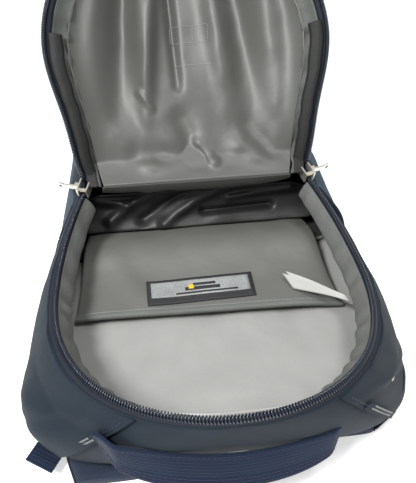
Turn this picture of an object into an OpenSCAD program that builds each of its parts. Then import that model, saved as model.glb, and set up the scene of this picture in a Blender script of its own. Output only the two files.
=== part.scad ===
// Daypack lying on its back, main zip open and the front panel folded back.
// Millimetres, +Z up. Y = 0 is the fold line of the lid and -Y runs towards the grab handle.
// The floor is Z = 0, under the pads that rest against the wearer's back.

/* [Bag] */
// Half length of the back panel
back_half_len = 221; // [215:1:226]
// Middle of the back panel, measured from the fold line
back_mid_y = -21; // [-23:1:-19]
// Half width of the back panel at its top end, before the corners
back_half_w = 184; // [180:1:187]
// How much narrower each side is at the bottom end
back_taper = 60; // [54:1:66]
// Underside of the stiffened back panel
back_z = 20; // [20:0.5:22]
// Thickness of the stiffened back panel
back_thick = 10; // [8:0.5:10]
// Thickness of the outer fabric with its backing
fabric = 3; // [2.6:0.1:3.2]
// How far the gussets belly out
gusset_bulge = 6; // [4:0.5:8]

/* [Mouth] */
// Half width of the mouth at the fold line
fold_half = 112; // [110:1:114]
// Half width of the mouth at its widest
mouth_half = 138; // [136:1:140]
// Where the mouth is widest
mouth_mid_y = -120; // [-122:1:-118]
// Where the mouth ends above the grab handle
mouth_end_y = -276; // [-278:1:-274]
// Height of the fold line
fold_z = 114; // [113:0.5:115]
// Height of the mouth's edge at the middle of its sides
mouth_sag_z = 90; // [88:1:92]
// Height of the mouth's edge above the grab handle
mouth_end_z = 122; // [120:1:124]

/* [Lid] */
// How far the open lid leans back past upright, in degrees
lid_lean = 35; // [33:1:36]
// Rise of the lid's front above the fold line when closed
lid_rise = 46; // [44:1:48]
// Rise of the fixed lower front above the fold line
lower_rise = 40; // [38:1:41]
// Length over which either front slopes up from the fold line
rise_len = 105; // [104:1:110]
// How far the lid's front edge is drawn in from the mouth
lid_draw_in = 18; // [16:1:20]

/* [Zip] */
// Width of one coil
coil_w = 3.2; // [3:0.1:3.3]
// Half of the gap between the two coils of the closed zip
coil_gap = 1.4; // [1.4:0.05:1.6]
// Width of one tape, coil included
tape_w = 15; // [14:0.5:16]
// Length of a slider
slider_len = 15; // [13:0.5:16]
// Length of a pull
pull_len = 17; // [14:0.5:20]

/* [Solar panel] */
// Width of the panel across the lid
panel_w = 150; // [140:1:152]
// Length of the panel along the lid
panel_len = 116; // [108:1:118]
// Number of cells across
cells_x = 4; // [3:1:5]
// Number of cells along
cells_y = 2; // [2:1:3]

/* [Carrying] */
// Reach of the grab handle from its anchors
handle_reach = 13; // [12:1:15]
// Width of the grab handle's webbing
handle_w = 26; // [24:1:28]
// Width of a shoulder strap
strap_w = 66; // [60:1:68]
// Thickness of a shoulder strap
strap_thick = 10; // [8:0.5:10.5]

/* [Hidden] */

navy = [0.13, 0.17, 0.25];
navy_web = [0.15, 0.2, 0.36];
grey_lining = [0.5, 0.5, 0.49];
grey_binding = [0.33, 0.33, 0.33];
black = [0.06, 0.06, 0.07];
metal = [0.75, 0.73, 0.68];

left = -1;
right = 1;
corner_round = 4.5;              // superellipse exponent of the back panel's corners
corner_pow = 2 / corner_round;
even_pow = 1.7;                  // spreads the steps evenly round a corner
floor_z = back_z + back_thick;   // top of the back panel
fold_angle = acos(fold_half / mouth_half);
mouth_far = -mouth_mid_y / sin(fold_angle);
mouth_near = mouth_mid_y - mouth_end_y;
lower_end_y = 186;               // where the lower front meets the bottom panel
seam_x = 96;                     // seam between the top gusset and a side
lining_gap = 0.3;
lining = 1;
steps = 26;                      // steps from the apex to the fold on one side
fold_clear = 12;                 // the fixed front starts this far behind the fold

function lerp(a, b, t) = a + (b - a) * t;
function back_half_at(y) =
    back_half_w - back_taper * (y - back_mid_y + back_half_len) / (2 * back_half_len);

// Point of the back panel's outline: k = 0 at the side, 1 at the end that end names, -1 top or 1 bottom
function back_pt(side, end, k, inset, z) =
    let (b = 90 * pow(k, even_pow),
         y = back_mid_y + end * (back_half_len - inset) * pow(sin(b), corner_pow))
    [side * (back_half_at(y) - inset) * pow(cos(b), corner_pow), y, z];

// Height of the mouth's edge, a parabola through its three heights
function rim_z(y) =
    let (s = y / mouth_end_y)
    fold_z * (1 - s) * (1 - 2 * s) + 4 * mouth_sag_z * s * (1 - s) + mouth_end_z * s * (2 * s - 1);

// Point of the mouth: k = 0 at the fold, 1 above the handle
function mouth_xy(side, k, inset, draw) =
    let (a = fold_angle - (fold_angle + 90) * k,
         near = mouth_near - inset - draw)
    [side * (mouth_half - inset - draw) * cos(a), mouth_mid_y + (sin(a) > 0 ? mouth_far : near) * sin(a)];
function rim_pt(side, k, inset, up) =
    let (p = mouth_xy(side, k, inset, 0)) [p[0], p[1], rim_z(mouth_xy(side, k, 0, 0)[1]) + up];

// Height of the fixed lower front, and of the closed lid's front
function lower_z(y) = fold_z + lower_rise * min(1, max(0, y) / rise_len);
function lid_z(y) = fold_z + lid_rise * min(1, max(0, -y) / rise_len);
function lower_pt(side, k, inset, up) =
    let (b = 90 * pow(k, even_pow), y = (lower_end_y - inset) * pow(sin(b), corner_pow))
    [side * (fold_half - inset) * pow(cos(b), corner_pow), y, lower_z(y) + up];

// Point on a gusset: f = 0 at the back panel, 1 at the top edge
function gusset_pt(side, end, k, f, inset) =
    let (b = 90 * pow(k, even_pow),
         low = back_pt(side, end, k, inset, back_z),
         high = end < 0 ? rim_pt(side, k, inset, 0) : lower_pt(side, k, inset, 0),
         belly = 4 * f * (1 - f) * gusset_bulge)
    lerp(low, high, f) + belly * [side * cos(b), end * sin(b), 0];

// Point on the closed lid's gusset, h above the mouth's edge
function lid_height(k) = let (y = mouth_xy(1, k, 0, 0)[1]) lid_z(y) - rim_z(y);
function lid_pt(side, k, h, inset) =
    let (y = mouth_xy(side, k, 0, 0)[1],
         p = mouth_xy(side, k, inset, lid_draw_in * h / (lid_rise + fold_z - mouth_sag_z)))
    [p[0], min(p[1], 0), rim_z(y) + h];

// Steps round a loop: [side, k] from one fold end to the other, with start trimmed off each end
function around(start) = concat(
    [for (i = [0 : steps]) [right, lerp(start, 1, i / steps)]],
    [for (i = [steps - 1 : -1 : 0]) [left, lerp(start, 1, i / steps)]]);
function one_side(side, k0, k1, n) = [for (i = [0 : n]) [side, lerp(k0, k1, i / n)]];

// Solid through a row of rings that all have the same even number of points, out along one face
// and back along the other, so that a strip across the ring closes each end
module loft(rings) {
    n = len(rings[0]);
    m = len(rings);
    last = (m - 1) * n;
    polyhedron(
        points = [for (r = rings) each r],
        faces = concat(
            [for (i = [0 : m - 2], j = [0 : n - 1])
                [i * n + j, i * n + (j + 1) % n, (i + 1) * n + (j + 1) % n]],
            [for (i = [0 : m - 2], j = [0 : n - 1])
                [i * n + j, (i + 1) * n + (j + 1) % n, (i + 1) * n + j]],
            [for (j = [0 : n / 2 - 2]) each [[j + 1, j, n - 1 - j], [j + 1, n - 1 - j, n - 2 - j]]],
            [for (j = [0 : n / 2 - 2]) each [
                [last + j, last + j + 1, last + n - 2 - j],
                [last + j, last + n - 2 - j, last + n - 1 - j]]]),
        convexity = 10);
}

// Band of a gusset between two heights, from inset in0 to in1
module gusset_band(end, path, f0, f1, in0, in1) {
    levels = [for (i = [0 : 3]) lerp(f0, f1, i / 3)];
    loft([for (p = path) concat(
        [for (f = levels) gusset_pt(p[0], end, p[1], f, in1)],
        [for (i = [3 : -1 : 0]) gusset_pt(p[0], end, p[1], levels[i], in0)])]);
}

// Band that follows the mouth's edge on the bag, from up0 to up1 above it
module rim_band(path, up0, up1, in0, in1) {
    loft([for (p = path) [
        rim_pt(p[0], p[1], in1, up0), rim_pt(p[0], p[1], in1, up1),
        rim_pt(p[0], p[1], in0, up1), rim_pt(p[0], p[1], in0, up0)]]);
}

// Band on the closed lid between two heights above the mouth, each cut off at the lid's front
module lid_band(path, h0, h1, in0, in1) {
    loft([for (p = path) let (top = lid_height(p[1]) - fabric - 0.4, a = min(h0, top - 0.6), b = min(h1, top)) [
        lid_pt(p[0], p[1], a, in1), lid_pt(p[0], p[1], b, in1),
        lid_pt(p[0], p[1], b, in0), lid_pt(p[0], p[1], a, in0)]]);
}

// Sheet that spans the bag from side to side: rows of [half width, y, z of its upper face]
module sheet(rows, thick) {
    loft([for (r = rows) [
        [r[0], r[1], r[2]], [-r[0], r[1], r[2]],
        [-r[0], r[1], r[2] - thick], [r[0], r[1], r[2] - thick]]]);
}

// Turns the closed lid about the fold line to where it rests open
module open_lid() {
    translate([0, 0, fold_z]) rotate([-(90 + lid_lean), 0, 0]) translate([0, 0, -fold_z]) children();
}

module rounded_slab(w, l, h, r) {
    translate([0, 0, h / 2]) cube([w - 2 * r, l, h], center = true);
    translate([0, 0, h / 2]) cube([w, l - 2 * r, h], center = true);
    for (x = [-1, 1], y = [-1, 1])
        translate([x * (w / 2 - r), y * (l / 2 - r), 0]) cylinder(h = h, r = r, $fn = 32);
}

// --- Back panel and pads ---

function back_ring(inset, z) = concat(
    [for (i = [0 : 11]) back_pt(right, -1, i / 12, inset, z)],
    [for (i = [12 : -1 : 1]) back_pt(left, -1, i / 12, inset, z)],
    [for (i = [0 : 11]) back_pt(left, 1, i / 12, inset, z)],
    [for (i = [12 : -1 : 1]) back_pt(right, 1, i / 12, inset, z)]);

// Slab with the back panel's outline, its edge leaning in as the gussets do
module back_slab(z0, z1, in0, in1) {
    loft([back_ring(in0, z0), back_ring(in1, z1)]);
}

module back_panel() {
    color(navy) back_slab(back_z, floor_z, fabric + 0.6, fabric + 6.6);
}

module spine_pad() {
    color(black) translate([0, -18, 0]) rounded_slab(76, 236, back_z - lining_gap, 20);
}

module lumbar_pad() {
    color(black) translate([0, 143, 0]) rounded_slab(196, 60, back_z - lining_gap, 24);
}

module back_pad(side) {
    color(black) translate([side * 88, -42, 12]) rounded_slab(84, 270, back_z - lining_gap - 12, 24);
}

// --- Gussets and fronts of the bag ---

wall_top = 0.83;                 // share of the gusset's height below the zip tape

module upper_wall() {
    gusset_band(-1, around(0), 0, wall_top, 0, fabric);
}

module side_upper(side) {
    color(navy) intersection() {
        upper_wall();
        translate([side * (seam_x + 200), -150, 60]) cube([400, 400, 200], center = true);
    }
}

module top_gusset() {
    color(navy) intersection() {
        upper_wall();
        translate([0, -200, 60]) cube([2 * seam_x - 0.4, 250, 200], center = true);
    }
}

// Right-hand wall of the lower half, taken towards the fold so that its faces point outward,
// and lower in its last steps to leave room for the zip's slider
module lower_wall() {
    rings = concat([for (i = [12 : -1 : 1]) [0.74 * i / 12, 1]], [[0.04, 0.95], [0.0205, 0.86], [0.0001, 0.76]]);
    loft([for (r = rings) concat(
        [for (i = [0 : 3]) gusset_pt(right, 1, r[0], r[1] * i / 3, fabric)],
        [for (i = [3 : -1 : 0]) gusset_pt(right, 1, r[0], r[1] * i / 3, 0)])]);
}

module side_lower(side) {
    color(navy) mirror([side > 0 ? 0 : 1, 0, 0]) lower_wall();
}

module bottom_panel() {
    path = concat(one_side(left, 0.742, 1, 8), one_side(right, 0.968, 0.742, 7));
    color(navy) gusset_band(1, path, 0, 1, 0, fabric);
}

module front_lower_panel() {
    inset = fabric + lining_gap;
    rows = [for (i = [14 : -1 : 1]) lower_pt(right, lerp(0.02, 0.93, i / 14), inset, 0)];
    color(navy) difference() {
        sheet(rows, fabric);
        translate([0, 0, fold_z]) cube([300, 2 * fold_clear, 40], center = true);
    }
}

module main_lining() {
    start = fabric + 3 * lining_gap;
    color(grey_lining) {
        gusset_band(-1, around(0.001), 0.17, 0.66, start, start + lining);
        back_slab(floor_z + lining_gap, floor_z + lining_gap + lining, 17, 17);
    }
}

// Hangs inside the tape, further in over the handle, where the top gusset leans out
module body_facing() {
    start = fabric + lining_gap;
    function face(p, up, inset) = rim_pt(p[0], p[1], inset - up / 4 * pow(p[1], 4), up);
    color(grey_lining) loft([for (p = around(0.05)) [
        face(p, -22, start + lining), face(p, -8, start + lining),
        face(p, -8, start), face(p, -22, start)]]);
}

module body_zip_tape() {
    color(navy) rim_band(around(0.02), -tape_w + 0.6, -coil_gap - coil_w - lining_gap, 0.6, 2);
}

module body_zip_coil() {
    color(black) rim_band(around(0.02), -coil_gap - coil_w, -coil_gap, -0.2, 2.8);
}

module zip_stops() {
    color(metal) for (side = [left, right])
        translate([side * (fold_half - 1.2), 9.5, fold_z - 6.5]) cube([3, 2.2, 5], center = true);
}

// --- Side pockets ---

module side_pocket(side, bulge) {
    n = 10;
    function shell(k, t, f, out) =
        gusset_pt(right, 1, k, f, -0.6 - out - bulge * (1 - pow(t, 3)) * sin(180 * (f - 0.1) / 0.66));
    levels = [for (i = [0 : 5]) lerp(0.1, 0.76, i / 5)];
    rings = [for (i = [n : -1 : 0]) let (t = i / n, k = lerp(0.05, 0.6, t)) concat(
        [for (f = levels) shell(k, t, f, 0)],
        [for (j = [5 : -1 : 0]) shell(k, t, levels[j], 1.5)])];
    color([0.25, 0.3, 0.38]) mirror([side > 0 ? 0 : 1, 0, 0]) loft(rings);
}

module pocket_hem(side, bulge) {
    function hem(k, f, out) = gusset_pt(right, 1, k, f, -0.6 - out - bulge * sin(180 * (f - 0.1) / 0.66));
    levels = [for (i = [0 : 5]) lerp(0.1, 0.76, i / 5)];
    rings = [for (k = [0.048, 0.03, 0.012]) concat(
        [for (f = levels) hem(k, f, 0)],
        [for (j = [5 : -1 : 0]) hem(k, levels[j], 2.6)])];
    color(black) mirror([side > 0 ? 0 : 1, 0, 0]) loft(rings);
}

pocket_bulge_left = 9;
pocket_bulge_right = 20;

// --- Trim on the bag ---

module care_label() {
    color("white") translate([100, -100, 53]) rotate([0, 0, -45]) rotate([30, 0, 0])
        cube([68, 20, 0.8], center = true);
}

handle_half = 90;
handle_x = -8;                   // the handle sits a little left of the middle
handle_y = -261;
handle_z = 64;

module handle_anchors() {
    color(navy_web) for (side = [left, right])
        mirror([side > 0 ? 0 : 1, 0, 0])
            gusset_band(-1, one_side(right, 0.79, 0.835, 3), 0.28, 0.6, -2, -0.3);
}

yoke_y = -225;
yoke_z = 13;
strap_x = 98;

module strap_anchors() {
    color(navy) for (side = [left, right])
        translate([side * strap_x, yoke_y + 8, 16.2]) cube([50, 24, 7], center = true);
}

web_anchor_y = 172;

module web_anchors() {
    color(navy_web) for (side = [left, right])
        translate([side * 112, web_anchor_y, 14.5]) cube([20, 14, 10.6], center = true);
}

// --- Front zip pocket ---

front_zip_y = 132;
front_zip_half = 78;
front_zip_z = fold_z + lower_rise + 0.3;

module front_zip_tape() {
    color(navy) for (s = [-1, 1])
        translate([0, front_zip_y + s * 6.6, front_zip_z + 0.6])
            cube([2 * front_zip_half, 8.4, 1.2], center = true);
}

module front_zip_coil() {
    color(black) translate([0, front_zip_y, front_zip_z + 0.8])
        cube([2 * front_zip_half, 4.4, 1.4], center = true);
}

front_slider_x = -front_zip_half + 9;
front_pin_r = 0.9;

module front_slider() {
    color(metal) translate([front_slider_x, front_zip_y, front_zip_z + 1.9]) {
        rounded_slab(13, 9, 1.5, 2.5);
        for (s = [-1, 1]) translate([0, s * 3.2, 3.2]) difference() {
            cube([4, 1.6, 4.4], center = true);
            rotate([90, 0, 0]) cylinder(h = 10, r = front_pin_r + 0.05, center = true, $fn = 24);
        }
    }
}

module front_pull() {
    color(metal) translate([front_slider_x, front_zip_y, front_zip_z + 5.1]) {
        rotate([90, 0, 0]) cylinder(h = 8.2, r = front_pin_r, center = true, $fn = 24);
        translate([-5, 0, 0]) cube([10, 3.8, 1.6], center = true);
        translate([-14, 0, 0]) cube([8.2, 7, 1.6], center = true);
    }
}

// --- Laptop sleeve ---

sleeve_top_y = -110;
sleeve_end_y = 170;
sleeve_thick = 5;

// Height of the sleeve's underside: flat at the bottom end, humped under the lid's fold, low at its top edge
function sleeve_low(y) = 36.5 + 15 * exp(-pow((y + 26) / 34, 2)) + 2.5 * exp(-pow((y + 90) / 40, 2));

sleeve_top_half = 126;
sleeve_end_half = 103;

module laptop_sleeve() {
    ys = [for (i = [0 : 20]) lerp(sleeve_top_y + 6.4, sleeve_end_y, i / 20)];
    color(grey_lining) intersection() {
        translate([-130, 0, 0]) rotate([90, 0, 90]) linear_extrude(260) polygon(concat(
            [for (y = ys) [y, sleeve_low(y)]],
            [for (i = [20 : -1 : 0]) [ys[i], sleeve_low(ys[i]) + sleeve_thick]]));
        linear_extrude(100) polygon([
            [-sleeve_top_half, sleeve_top_y], [sleeve_top_half, sleeve_top_y],
            [sleeve_end_half, sleeve_end_y], [-sleeve_end_half, sleeve_end_y]]);
    }
}

module sleeve_binding() {
    color(grey_binding) translate([0, sleeve_top_y + 3, sleeve_low(sleeve_top_y + 3) + sleeve_thick / 2])
        cube([2 * sleeve_top_half + 2, 6, sleeve_thick + 1.4], center = true);
}

module woven_label() {
    y = -83;
    slope = atan((sleeve_low(y + 12) - sleeve_low(y - 12)) / 24);
    color(black) translate([-8, y, sleeve_low(y) + sleeve_thick + 2]) rotate([slope, 0, 4])
        cube([104, 30, 0.8], center = true);
}

// --- Lid ---

module lid_front() {
    rows = [for (k = [0.05 : 0.04 : 0.97]) lid_pt(right, k, lid_height(k), 2)];
    color(navy) open_lid() sheet(rows, fabric);
}

module lid_gusset() {
    color(navy) open_lid() lid_band(around(0.08), tape_w + 0.4, 200, fabric + 2.4, 2.2);
}

module lid_lining() {
    rows = [for (k = [0.2 : 0.045 : 0.93]) lid_pt(right, k, lid_height(k) - 9, 8)];
    color(grey_lining) open_lid() sheet(rows, lining);
}

module lid_facing() {
    color(grey_lining) open_lid() lid_band(around(0.2), tape_w - 5, tape_w + 9, fabric + 3.8, fabric + 2.8);
}

module lid_zip_tape() {
    color(navy) open_lid() lid_band(around(0.1), coil_gap + coil_w + lining_gap, tape_w - 0.4, 2, 0.6);
}

module lid_zip_coil() {
    color(black) open_lid() loft([for (p = around(0.09)) [
        rim_pt(p[0], p[1], 2.8, coil_gap), rim_pt(p[0], p[1], 2.8, coil_gap + coil_w),
        rim_pt(p[0], p[1], -0.2, coil_gap + coil_w), rim_pt(p[0], p[1], -0.2, coil_gap)]]);
}

// --- Solar panel, on the lid's front ---

panel_mid_y = -(rise_len + panel_len / 2);
panel_z = fold_z + lid_rise + 0.2;
bezel = 6;

module on_lid_front(z) {
    open_lid() translate([0, panel_mid_y, panel_z + z]) children();
}

module solar_backing() {
    color(black) on_lid_front(0) rounded_slab(panel_w, panel_len, 1.6, 8);
}

module solar_cells() {
    cell_w = (panel_w - 2 * bezel - 4) / cells_x;
    cell_l = (panel_len - 2 * bezel - 4) / cells_y;
    color([0.05, 0.07, 0.2]) on_lid_front(1.8) for (i = [0 : cells_x - 1], j = [0 : cells_y - 1])
        translate([(i - (cells_x - 1) / 2) * cell_w, (j - (cells_y - 1) / 2) * cell_l, 0.3])
            cube([cell_w - 1.5, cell_l - 1.5, 0.6], center = true);
}

module solar_cover() {
    color([0.5, 0.6, 0.7, 0.4]) on_lid_front(2.5)
        rounded_slab(panel_w - 2 * bezel - 0.6, panel_len - 2 * bezel - 0.6, 0.8, 4);
}

module solar_bezel() {
    color(black) on_lid_front(1.8) difference() {
        rounded_slab(panel_w, panel_len, 2, 8);
        translate([0, 0, -1]) rounded_slab(panel_w - 2 * bezel, panel_len - 2 * bezel, 4, 4);
    }
}

module solar_regulator() {
    color(black) on_lid_front(0) translate([0, panel_len / 2 - 26, -fabric - 6.3]) difference() {
        translate([0, 0, 3]) cube([56, 34, 5.4], center = true);
        // socket for a charging plug
        translate([0, 17, 3]) cube([13, 16, 3], center = true);
    }
}

// --- Zip sliders and pulls; built for the right side and mirrored ---

slide_yaw = -70.5;
slide_pitch = 15.9;
plate_gap = 8;
plate = 1.5;

module at_zip_end(side) {
    mirror([side > 0 ? 0 : 1, 0, 0]) translate([fold_half, 0, fold_z])
        rotate([0, slide_pitch, slide_yaw]) children();
}

pin_out = plate_gap / 2 + plate + 2.2;

module slider(side) {
    color(metal) at_zip_end(side) {
        for (s = [-1, 1]) translate([0, s * (plate_gap + plate) / 2, 0])
            cube([slider_len, plate, 11], center = true);
        // wedge that parts the two coils
        translate([3, 0, 0]) cube([4, plate_gap + 0.2, 1.4], center = true);
        // lugs with the bore of the pull's pin, across the zip
        for (s = [-1, 1]) translate([0, plate_gap / 2 + plate + 1.9, s * 3.9]) difference() {
            cube([4.4, 4, 1.6], center = true);
            translate([0, pin_out - plate_gap / 2 - plate - 1.9, 0])
                cylinder(h = 10, r = 1.05, center = true, $fn = 24);
        }
    }
}

module pull(side) {
    ring_r = 3.4;
    color(metal) at_zip_end(side) translate([0, pin_out, 0]) {
        cylinder(h = 9.2, r = 1, center = true, $fn = 24);
        translate([0, (pull_len - ring_r + 0.6) / 2, 0]) cube([2, pull_len - ring_r + 0.6, 4.6], center = true);
        translate([0, pull_len, 0]) rotate([0, 90, 0]) difference() {
            cylinder(h = 2, r = ring_r, center = true, $fn = 32);
            cylinder(h = 3, r = ring_r - 1.5, center = true, $fn = 32);
        }
    }
}

// --- Grab handle: an arc of webbing, leaning out at its lower edge and twisted flat to the bag at its ends ---

handle_r = (handle_half * handle_half + handle_reach * handle_reach) / (2 * handle_reach);
handle_arc = asin(handle_half / handle_r);
handle_tilt = 28;
handle_end_tilt = -20;
handle_droop = 15;               // how far the middle hangs below the ends
webbing = 3;

// Ring across the handle: u runs from -1 at the left end to 1 at the right one
function handle_ring(u) =
    let (a = handle_arc * u,
         tilt = lerp(handle_tilt, handle_end_tilt, pow(abs(u), 3)),
         half = (handle_w / 2) * (1 - 0.55 * pow(abs(u), 6)),
         mid_r = [for (e = [-1, 1]) handle_r - e * half * sin(tilt)],
         z = [for (e = [-1, 1]) handle_z - handle_droop * (1 - u * u) + e * half * cos(tilt)],
         mid_y = handle_y - handle_reach + handle_r)
    [for (c = [[mid_r[0] - webbing / 2, z[0]], [mid_r[1] - webbing / 2, z[1]],
               [mid_r[1] + webbing / 2, z[1]], [mid_r[0] + webbing / 2, z[0]]])
        [handle_x + c[0] * sin(a), mid_y - c[0] * cos(a), c[1]]];

module grab_handle() {
    n = 32;
    color(navy_web) loft([for (i = [n : -1 : 0]) handle_ring(2 * i / n - 1)]);
}

// --- Shoulder straps; built for the right side and mirrored ---

strap_end_y = 42;

module strap(side) {
    n = 12;
    function mid_x(t) = strap_x + 8 * sin(180 * t) + 6 * t;
    function half(t) = (strap_w / 2) * (1 - 0.35 * t) * (t < 0.08 ? 0.8 + 2.5 * t : 1);
    ts = [for (i = [0 : n]) i / n];
    edge_y = side > 0 ? -230 : -246;
    color(navy) mirror([side > 0 ? 0 : 1, 0, 0]) linear_extrude(strap_thick) polygon(concat(
        [for (t = ts) [mid_x(t) + half(t), lerp(edge_y, strap_end_y, t)]],
        [for (i = [n : -1 : 0]) [mid_x(ts[i]) - half(ts[i]), lerp(edge_y, strap_end_y, ts[i])]]));
}

module ladder_lock(side) {
    color(black) translate([side * 104, strap_end_y + 12.4, 3.5]) difference() {
        cube([34, 24, 5], center = true);
        for (y = [-6, 6]) translate([0, y, 0]) cube([26, 6, 8], center = true);
    }
}

module web(side) {
    y0 = strap_end_y + 25;
    y1 = web_anchor_y - 9;
    color(navy_web) translate([side * 108, (y0 + y1) / 2, 3.5]) rotate([0, 0, -side * 3])
        cube([20, y1 - y0, 2], center = true);
}

module strap_tab(side) {
    // the right one is tucked further in
    color(navy_web) translate([side > 0 ? 139 : -149, -224, 13.8]) rotate([0, -side * 8, side * 30])
        cube([24, 19, 2.4], center = true);
}

back_panel();
spine_pad();
lumbar_pad();
back_pad(left);  // back_pad_left
back_pad(right);  // back_pad_right
side_upper(left);  // side_upper_left
side_upper(right);  // side_upper_right
side_lower(left);  // side_lower_left
side_lower(right);  // side_lower_right
top_gusset();
bottom_panel();
front_lower_panel();
main_lining();
body_facing();
body_zip_tape();
body_zip_coil();
zip_stops();
side_pocket(left, pocket_bulge_left);  // side_pocket_left
side_pocket(right, pocket_bulge_right);  // side_pocket_right
pocket_hem(left, pocket_bulge_left);  // pocket_hem_left
pocket_hem(right, pocket_bulge_right);  // pocket_hem_right
care_label();
handle_anchors();
strap_anchors();
web_anchors();
front_zip_tape();
front_zip_coil();
front_slider();
front_pull();
laptop_sleeve();
sleeve_binding();
woven_label();
lid_front();
lid_gusset();
lid_lining();
lid_facing();
lid_zip_tape();
lid_zip_coil();
solar_backing();
solar_cells();
solar_cover();
solar_bezel();
solar_regulator();
slider(left);  // slider_left
slider(right);  // slider_right
pull(left);  // pull_left
pull(right);  // pull_right
grab_handle();
strap(left);  // strap_left
strap(right);  // strap_right
ladder_lock(left);  // ladder_lock_left
ladder_lock(right);  // ladder_lock_right
web(left);  // web_left
web(right);  // web_right
strap_tab(left);  // strap_tab_left
strap_tab(right);  // strap_tab_right
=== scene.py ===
"""Looks of the open daypack: soft goods, zips, lining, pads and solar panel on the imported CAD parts."""

import math

import bpy
import numpy as np
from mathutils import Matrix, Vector


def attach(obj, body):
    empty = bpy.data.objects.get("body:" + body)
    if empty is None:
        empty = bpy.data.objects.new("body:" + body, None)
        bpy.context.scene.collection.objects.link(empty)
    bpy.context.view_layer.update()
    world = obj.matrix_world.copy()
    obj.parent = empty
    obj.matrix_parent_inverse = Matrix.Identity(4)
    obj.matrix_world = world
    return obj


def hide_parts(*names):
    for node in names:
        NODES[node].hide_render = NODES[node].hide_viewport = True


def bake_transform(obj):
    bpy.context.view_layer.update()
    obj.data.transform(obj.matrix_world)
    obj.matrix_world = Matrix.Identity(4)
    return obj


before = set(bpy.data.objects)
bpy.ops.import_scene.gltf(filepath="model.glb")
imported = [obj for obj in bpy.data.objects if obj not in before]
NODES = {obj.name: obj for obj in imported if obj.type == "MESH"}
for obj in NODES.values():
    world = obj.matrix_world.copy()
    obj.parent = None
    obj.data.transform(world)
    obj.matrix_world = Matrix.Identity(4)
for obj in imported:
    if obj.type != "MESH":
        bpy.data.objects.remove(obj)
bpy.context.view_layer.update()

MM = 0.001
LEFT, RIGHT = -1, 1
SIDES = ((LEFT, "left"), (RIGHT, "right"))
NEAR, FAR = -1, 1

# Driving sizes of the CAD design, in millimetres and degrees
# back panel: half length, middle, half width at the near end, narrowing, height; floor of the bag
BACK_HALF_LEN, BACK_MID_Y, BACK_HALF_W, BACK_TAPER, BACK_Z = 221.0, -21.0, 184.0, 60.0, 20.0
FLOOR_Z = 30.0
# mouth: half widths at the fold and at its widest, the widest place, the near end, three heights of the rim
FOLD_HALF, MOUTH_HALF, MOUTH_MID_Y, MOUTH_END_Y = 112.0, 138.0, -120.0, -276.0
FOLD_Z, SAG_Z, END_Z = 114.0, 90.0, 122.0
# lid and fixed lower front: lean past upright, two rises, length of the rise, draw of the lid's wall
LID_LEAN, LID_RISE, LOWER_RISE, RISE_LEN, LID_DRAW = 35.0, 46.0, 40.0, 105.0, 18.0
LOWER_END_Y, POCKET_ZIP_Y, BULGE = 186.0, 132.0, 6.0
# spacing of the steps round a corner, and power of the rounded corners
EVEN_POW, CORNER_POW = 1.7, 2 / 4.5
FOLD_ANGLE = math.acos(FOLD_HALF / MOUTH_HALF)
MOUTH_FAR = -MOUTH_MID_Y / math.sin(FOLD_ANGLE)
MOUTH_NEAR = MOUTH_MID_Y - MOUTH_END_Y
OPEN_ANGLE = math.radians(-(90 + LID_LEAN))
# grab handle: middle, half length, hinge line and its height, bow and droop
HANDLE_X, HANDLE_HALF, HANDLE_Y, HANDLE_Z = -8.0, 90.0, -261.0, 64.0
HANDLE_REACH, HANDLE_DROOP = 13.0, 15.0
# seam between side and top gusset: its step along the wall, and how far the two overlap
SEAM_K, SEAM_LAP = 0.775, 0.006
# share of the upper wall's height where the outer fabric ends and the zip's tape goes on
WALL_TOP = 0.93


# ---------------- small maths
def lerp(a, b, t):
    return a + (b - a) * t


def smooth(t):
    t = np.clip(t, 0, 1)
    return t * t * (3 - 2 * t)


def bump(x, mid, width):
    return np.exp(-(((x - mid) / width) ** 2))


def noise(u, v, seed):
    """Smooth value noise from -1 to 1."""
    i, j = np.floor(u), np.floor(v)
    f, g = smooth(u - i), smooth(v - j)

    def knot(a, b):
        h = np.sin(a * 127.1 + b * 311.7 + seed * 74.7) * 43758.5453
        return h - np.floor(h)

    low = lerp(knot(i, j), knot(i + 1, j), f)
    high = lerp(knot(i, j + 1), knot(i + 1, j + 1), f)
    return 2 * lerp(low, high, g) - 1


def ridge(x, y, ax, ay, bx, by, width, height):
    """Fold whose crest runs from point a to point b, fading past both ends."""
    dx, dy = bx - ax, by - ay
    length = math.hypot(dx, dy)
    along = ((x - ax) * dx + (y - ay) * dy) / length
    off = ((x - ax) * dy - (y - ay) * dx) / length
    ends = smooth((along + width) / (2 * width)) * smooth((length + width - along) / (2 * width))
    return height * np.exp(-((off / width) ** 2)) * ends


def folds(x, y, *each):
    """Sum of ridges, given by their ends, width and height; a hollow's height is negative."""
    return sum(ridge(x, y, *one) for one in each)


def unit(v):
    return v / np.maximum(np.linalg.norm(v, axis=-1, keepdims=True), 1e-9)


# ---------------- bag outline, as in the CAD
def corner(k):
    """Rounded corner of the outline, from beside the bag (k = 0) to its end (k = 1)."""
    b = np.radians(90 * np.clip(k, 0, 1) ** EVEN_POW)
    return np.maximum(np.cos(b), 0), np.sin(b)


def stack(x, y, z):
    return np.stack(np.broadcast_arrays(x, y, z), -1).astype(float)


def back_pt(side, end, k, inset, z):
    """Point on the back panel's outline, which is wider at the near end."""
    c, s = corner(k)
    y = BACK_MID_Y + end * (BACK_HALF_LEN - inset) * s**CORNER_POW
    half = BACK_HALF_W - BACK_TAPER * (y - BACK_MID_Y + BACK_HALF_LEN) / (2 * BACK_HALF_LEN)
    return stack(side * (half - inset) * c**CORNER_POW, y, z)


def rim_z(y):
    """Height of the mouth's edge: it sags between the fold and the near end."""
    s = y / MOUTH_END_Y
    return FOLD_Z * (1 - s) * (1 - 2 * s) + 4 * SAG_Z * s * (1 - s) + END_Z * s * (2 * s - 1)


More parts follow.
